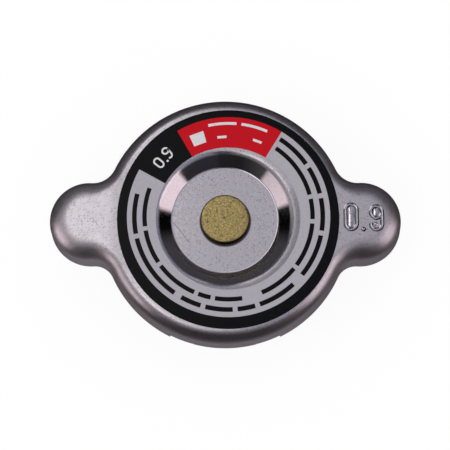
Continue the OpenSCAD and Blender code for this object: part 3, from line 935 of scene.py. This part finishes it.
piece("label_lines", "shell", merged(
    *bar_row(OUTER_ROW, 57, (22, 17, 20, 27)),
    *bar_row(OUTER_ROW, -46, (24, 11, 17, 13)),
    *bar_row(OUTER_ROW, -125, (42, 25)),
    *bar_row(INNER_ROW, 56, (40, 14, 31, 28)),
    *bar_row(INNER_ROW, -80, (19, 9, 30, 24, 27))), [black_ink])
piece("label_red_lines", "shell", merged(
    *bar_row(RED_ROW, 102, (17, 16)),
    *(block(*RED_BAR, *spot) for spot in RED_BAR_SPOTS),
    block(*RED_BLOCK, *RED_BLOCK_SPOT)), [white_ink])
piece("label_number", "shell", merged(
    on_label(zero_path(*LABEL_ZERO), LABEL_STROKE, *LABEL_ZERO_SPOT),
    block(*LABEL_DOT, *LABEL_DOT_SPOT),
    on_label(nine_tail(*LABEL_NINE, 225) + nine_loop(*LABEL_NINE, 375), LABEL_STROKE, *LABEL_NINE_SPOT)),
    [white_ink])


# Rivet

SHANK_R = 2.6
TAIL_FLAT_R = 2.8
TAIL_H = 1.2
HEAD_GAP = 0.05
HEAD_EDGE_R = 0.45
HEAD_FOOT = (0.25, 0.3)
HEAD_CROWN = 0.03
CROWN_RADII = (4.2, 3, 1.8, 0.6, 0)
RIVET_EDGE_STEPS = 8
RIVET_STEPS = 144


def rivet_mesh():
    """A clinched tail, a shank and a flat head with a rounded edge."""
    low, high = (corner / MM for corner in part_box("rivet"))
    head_low = Z_TOP - DISH_DEPTH + HEAD_GAP
    head_r = high.x
    tail_top = low.z + TAIL_H
    tail = arc((TAIL_FLAT_R, tail_top), TAIL_H, 270, 360, RIVET_EDGE_STEPS)
    head = arc((head_r - HEAD_EDGE_R, high.z - HEAD_EDGE_R), HEAD_EDGE_R, 0, 80, RIVET_EDGE_STEPS)
    crown = [Vector((r, high.z - HEAD_CROWN * (r / head_r) ** 2)) for r in CROWN_RADII]
    foot = [Vector((head_r - HEAD_FOOT[0], head_low)), Vector((head_r, head_low + HEAD_FOOT[1]))]
    shank = [Vector((SHANK_R, tail_top)), Vector((SHANK_R, head_low))]
    profile = [Vector((0, low.z)), *tail, *shank, *foot, *head, *crown]
    return lathe([(p.x, p.y) for p in profile], RIVET_STEPS)


piece("rivet_turned", "carrier", rivet_mesh(), [rivet_brass], replaces="rivet")


# Springs

COIL_SIDES = 16
COIL_RINGS = 48


def coil_mesh(mean_r, wire, turns, low, high):
    """A coil with closed, ground ends between two levels."""
    sides = COIL_SIDES
    end_pitch = 1.04 * wire
    tip = 0.1 * wire
    h = high - low
    count = math.ceil(turns * COIL_RINGS)

    def height(turn):
        if turn < 1:
            return tip + end_pitch * turn
        if turn > turns - 1:
            return h - tip - end_pitch * (turns - turn)
        return tip + end_pitch + (h - 2 * (tip + end_pitch)) * (turn - 1) / (turns - 2)

    rows = []
    for i in range(count + 1):
        turn = turns * i / count
        spoke = direction(360 * turn)
        row = []
        for k in range(sides):
            q = wire / 2 * direction(360 * (k + 0.5) / sides)
            p = (mean_r + q.x) * spoke
            row.append((p.x, p.y, low + min(max(height(turn) + q.y, 0), h)))
        rows.append(row)
    points, faces = loft(rows, False)
    last = count * sides
    return points, faces + [tuple(range(sides)), tuple(range(last, last + sides))]


def spring(name, node, body, mean_r, wire, turns):
    """A coil in place of a part's solid, from its lowest to its highest level, riding on a body."""
    low, high = (corner.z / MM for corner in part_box(node))
    coil = piece(name, body, coil_mesh(mean_r, wire, turns, low, high), [wire_steel], node)
    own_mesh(coil)


spring("main_coil", "main_spring", "carrier",
       mean_r=12.4, wire=2, turns=4.5)
spring("vacuum_coil", "vacuum_spring", "pressure_valve",
       mean_r=1.925, wire=0.45, turns=4)


# Finish of the pieces that keep their solid

FINISHES = {
    "thrust_washer": valve_brass,
    "spring_disc": sheet_steel,
    "upper_gasket": black_rubber,
    "spring_seat": sheet_steel,
    "spring_holder": sheet_steel,
    "tail_washer": sheet_steel,
    "valve_cup": sheet_steel,
    "valve_plate": sheet_steel,
    "lower_gasket": black_rubber,
    "vacuum_valve": valve_brass,
    "vacuum_stem": valve_brass,
    "spring_retainer": valve_brass}
for node, material in FINISHES.items():
    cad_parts[node].material_slots[0].material = material


# Studio

FLOOR_GLOW = 0.9
FLOOR_R = 4
FLOOR_GAP = 0.02
WORLD_LIGHT = 0.88
KEY_AT = (-0.45, -0.3, 0.9)
KEY_SIZE = 0.8
KEY_POWER = 2.2
TENT_R = 0.9
PANEL_FADE = 3
PANEL_TOP_FADE = 12
LEFT_STRIP = (2.2, 2.13, 2.15)
RIGHT_STRIP = (0.34, 0.345, 0.4)
LEFT_WALL = (0.38, 0.368, 0.37)
RIGHT_WALL = (0.25, 0.256, 0.31)
STRIP_LIGHT = (0.46, 0.456, 0.487)
ROOF_LIGHT = (0.07, 0.069, 0.077)
BACK_WALL = (0.055, 0.0535, 0.061)
RIGHT_PANEL = (1.08, 0.92, 0.95)
LEFT_PANEL = (1.02, 0.87, 0.9)
TABLE_LIGHT = (0.24, 0.22, 0.228)


def floor():
    """A white floor that shows plain white and keeps the part's shadow."""
    mesh = bpy.data.meshes.new("floor")
    shaper = bmesh.new()
    bmesh.ops.create_circle(shaper, cap_ends=True, segments=96, radius=FLOOR_R)
    shaper.to_mesh(mesh)
    shaper.free()
    material, tree, shader = new_material("floor_white")
    shader.inputs["Base Color"].default_value = (1, 1, 1, 1)
    shader.inputs["Roughness"].default_value = 0.9
    shader.inputs["Specular IOR Level"].default_value = 0.1
    glow = tree.nodes.new("ShaderNodeEmission")
    path = tree.nodes.new("ShaderNodeLightPath").outputs
    seen = combine(tree, "MAXIMUM", path["Is Camera Ray"], path["Is Glossy Ray"])
    seen = combine(tree, "MAXIMUM", seen, path["Is Transmission Ray"])
    mix = tree.nodes.new("ShaderNodeMixShader")
    join(tree, times(tree, seen, FLOOR_GLOW), mix.inputs["Fac"])
    join(tree, shader.outputs["BSDF"], mix.inputs[1])
    join(tree, glow.outputs["Emission"], mix.inputs[2])
    join(tree, mix.outputs["Shader"], tree.nodes["Material Output"].inputs["Surface"])
    mesh.materials.append(material)
    plane = bpy.data.objects.new("floor", mesh)
    plane.location.z = -FLOOR_GAP * MM
    # Reflections show the tent's table light instead
    plane.visible_glossy = False
    link(plane)


def side_panel(tree, way, azimuth, half_width, low, high):
    """A soft upright panel beside the part, by its bearing, half width and height in degrees."""

    def level(angle):
        return math.sin(math.radians(angle))

    turn = tree.nodes.new("ShaderNodeVectorRotate")
    turn.rotation_type = "Z_AXIS"
    turn.inputs["Angle"].default_value = math.radians(-azimuth)
    join(tree, way, turn.inputs["Vector"])
    x, y, z = split(tree, turn.outputs["Vector"])
    bearing = combine(tree, "ABSOLUTE", combine(tree, "ARCTAN2", y, x))
    wide = span(tree, bearing, math.radians(half_width + PANEL_FADE), math.radians(half_width - PANEL_FADE))
    tall = band(tree, z, level(low - PANEL_FADE), level(low + PANEL_FADE),
                level(high - PANEL_TOP_FADE), level(high + PANEL_TOP_FADE))
    return times(tree, wide, tall)


def tent_strips(tree, x, y, z):
    """Bright strips overhead: one over each wing and one between them."""
    out = combine(tree, "ABSOLUTE", x)
    slim = band(tree, out, 0.08, 0.15, 0.22, 0.34)
    left = times(tree, slim, span(tree, x, -0.05, -0.16))
    right = times(tree, slim, span(tree, x, 0.05, 0.16))
    middle = combine(tree, "SUBTRACT", span(tree, x, -0.16, -0.05), span(tree, x, 0.05, 0.16))
    above = span(tree, z, 0.03, 0.3)
    return [
        (LEFT_STRIP, times(tree, left, band(tree, y, -0.55, -0.05, 0.3, 0.9), above)),
        (RIGHT_STRIP, times(tree, right, band(tree, y, 0.1, 0.35, 0.65, 0.95), above)),
        (STRIP_LIGHT, times(tree, middle, band(tree, y, -0.01, 0.11, 0.24, 0.33), above))]


def tent_walls(tree, x, y, z):
    """Dim cloth at the left, right and back, overhead, and a table below."""
    left = times(tree, span(tree, x, -0.05, -0.16), span(tree, z, 0.25, 0.55))
    left_fall = times(tree, span(tree, y, 0.45, -0.05, shape="LINEAR"),
                      span(tree, y, -0.85, 0, shape="LINEAR"))
    right = times(tree, span(tree, x, 0.05, 0.16), span(tree, z, 0.3, 0.85))
    back_low = combine(tree, "SUBTRACT", y, times(tree, z, 0.6))
    right_fall = times(tree, span(tree, back_low, 0.6, -0.4), span(tree, y, -1, -0.2, 0.25, 1))
    table = combine(tree, "ADD", span(tree, z, 0.3, 0.1, 0.03, 0.14), span(tree, z, -0.5, -0.95, 0, 0.86))
    return [
        (LEFT_WALL, times(tree, left, left_fall)),
        (RIGHT_WALL, times(tree, right, right_fall)),
        (ROOF_LIGHT, span(tree, z, 0.3, 0.85)),
        (BACK_WALL, times(tree, span(tree, y, 0.3, 0.6), span(tree, z, -0.7, -0.1))),
        (TABLE_LIGHT, times(tree, table, span(tree, y, 0.1, -0.4, 0.2, 1)))]


def tent_light(tree):
    """Light of the tent by direction, where x is to the right, y to the back and z up."""
    place = tree.nodes.new("ShaderNodeTexCoord")
    way = vector_step(tree, "NORMALIZE", place.outputs["Object"])["Vector"]
    x, y, z = split(tree, way)
    panels = [
        (RIGHT_PANEL, side_panel(tree, way, azimuth=-18, half_width=20, low=-6, high=50)),
        (LEFT_PANEL, side_panel(tree, way, azimuth=201, half_width=19, low=-10, high=26))]
    light = None
    for colour, share in tent_strips(tree, x, y, z) + tent_walls(tree, x, y, z) + panels:
        tint = tree.nodes.new("ShaderNodeCombineXYZ")
        for channel, level in zip(tint.inputs, colour):
            join(tree, times(tree, share, level), channel)
        shade = tint.outputs["Vector"]
        light = vector_step(tree, "ADD", light, shade)["Vector"] if light else shade
    return light


def tent():
    """A studio tent that only reflections see."""
    mesh = bpy.data.meshes.new("studio_tent")
    shaper = bmesh.new()
    bmesh.ops.create_uvsphere(shaper, u_segments=64, v_segments=32, radius=TENT_R)
    shaper.to_mesh(mesh)
    shaper.free()
    material = bpy.data.materials.new("tent_cloth")
    material.use_nodes = True
    tree = material.node_tree
    tree.nodes.clear()
    glow = tree.nodes.new("ShaderNodeEmission")
    join(tree, tent_light(tree), glow.inputs["Color"])
    out = tree.nodes.new("ShaderNodeOutputMaterial")
    join(tree, glow.outputs["Emission"], out.inputs["Surface"])
    material.cycles.emission_sampling = "NONE"
    mesh.materials.append(material)
    cloth = bpy.data.objects.new("studio_tent", mesh)
    cloth.visible_camera = False
    cloth.visible_diffuse = False
    cloth.visible_transmission = False
    cloth.visible_volume_scatter = False
    cloth.visible_shadow = False
    link(cloth)


def sky():
    """Even white light from all round, for the print, the rubber and the floor."""
    world = bpy.data.worlds.new("studio_world")
    world.use_nodes = True
    background = world.node_tree.nodes["Background"]
    background.inputs["Color"].default_value = (1, 1, 1, 1)
    background.inputs["Strength"].default_value = WORLD_LIGHT
    bpy.context.scene.world = world


def key_light():
    """A soft lamp for the print and the floor, which the metal doesn't show."""
    lamp = bpy.data.lights.new("key_light", "AREA")
    lamp.shape = "DISK"
    lamp.size = KEY_SIZE
    lamp.energy = KEY_POWER
    holder = bpy.data.objects.new("key_light", lamp)
    holder.location = KEY_AT
    holder.rotation_euler = (-holder.location).to_track_quat("-Z", "Y").to_euler()
    holder.visible_glossy = False
    link(holder)


# Camera, above the front edge

VIEW_TILT = (0.014, -0.1755)
VIEW_ROLL = 0.002
VIEW_DISTANCE = 240
VIEW_FOCAL = 1120.7
VIEW_SHIFT = (-0.063, 1.54)
IMAGE_SIZE = 450
SENSOR = 36
CLIP_START = 5


def camera():
    """A camera fitted to the photograph. Its tilt is how far it leans from straight above."""
    back = Vector((*VIEW_TILT, 1)).normalized()
    side = Vector((0, 1, 0)).cross(back).normalized()
    rise = back.cross(side)
    right = math.cos(VIEW_ROLL) * side + math.sin(VIEW_ROLL) * rise
    up = math.cos(VIEW_ROLL) * rise - math.sin(VIEW_ROLL) * side
    spot = VIEW_DISTANCE * back - VIEW_SHIFT[0] * right - VIEW_SHIFT[1] * up + Vector((0, 0, Z_TOP))
    lens = bpy.data.cameras.new("camera")
    lens.sensor_width = SENSOR
    lens.lens = VIEW_FOCAL / IMAGE_SIZE * SENSOR
    lens.clip_start = CLIP_START * MM
    eye = bpy.data.objects.new("camera", lens)
    turn = Matrix((right, up, back)).transposed().to_4x4()
    eye.matrix_world = Matrix.Translation(spot * MM) @ turn
    link(eye)
    bpy.context.scene.camera = eye


floor()
tent()
sky()
key_light()
camera()
bpy.context.scene.view_settings.view_transform = "Standard"
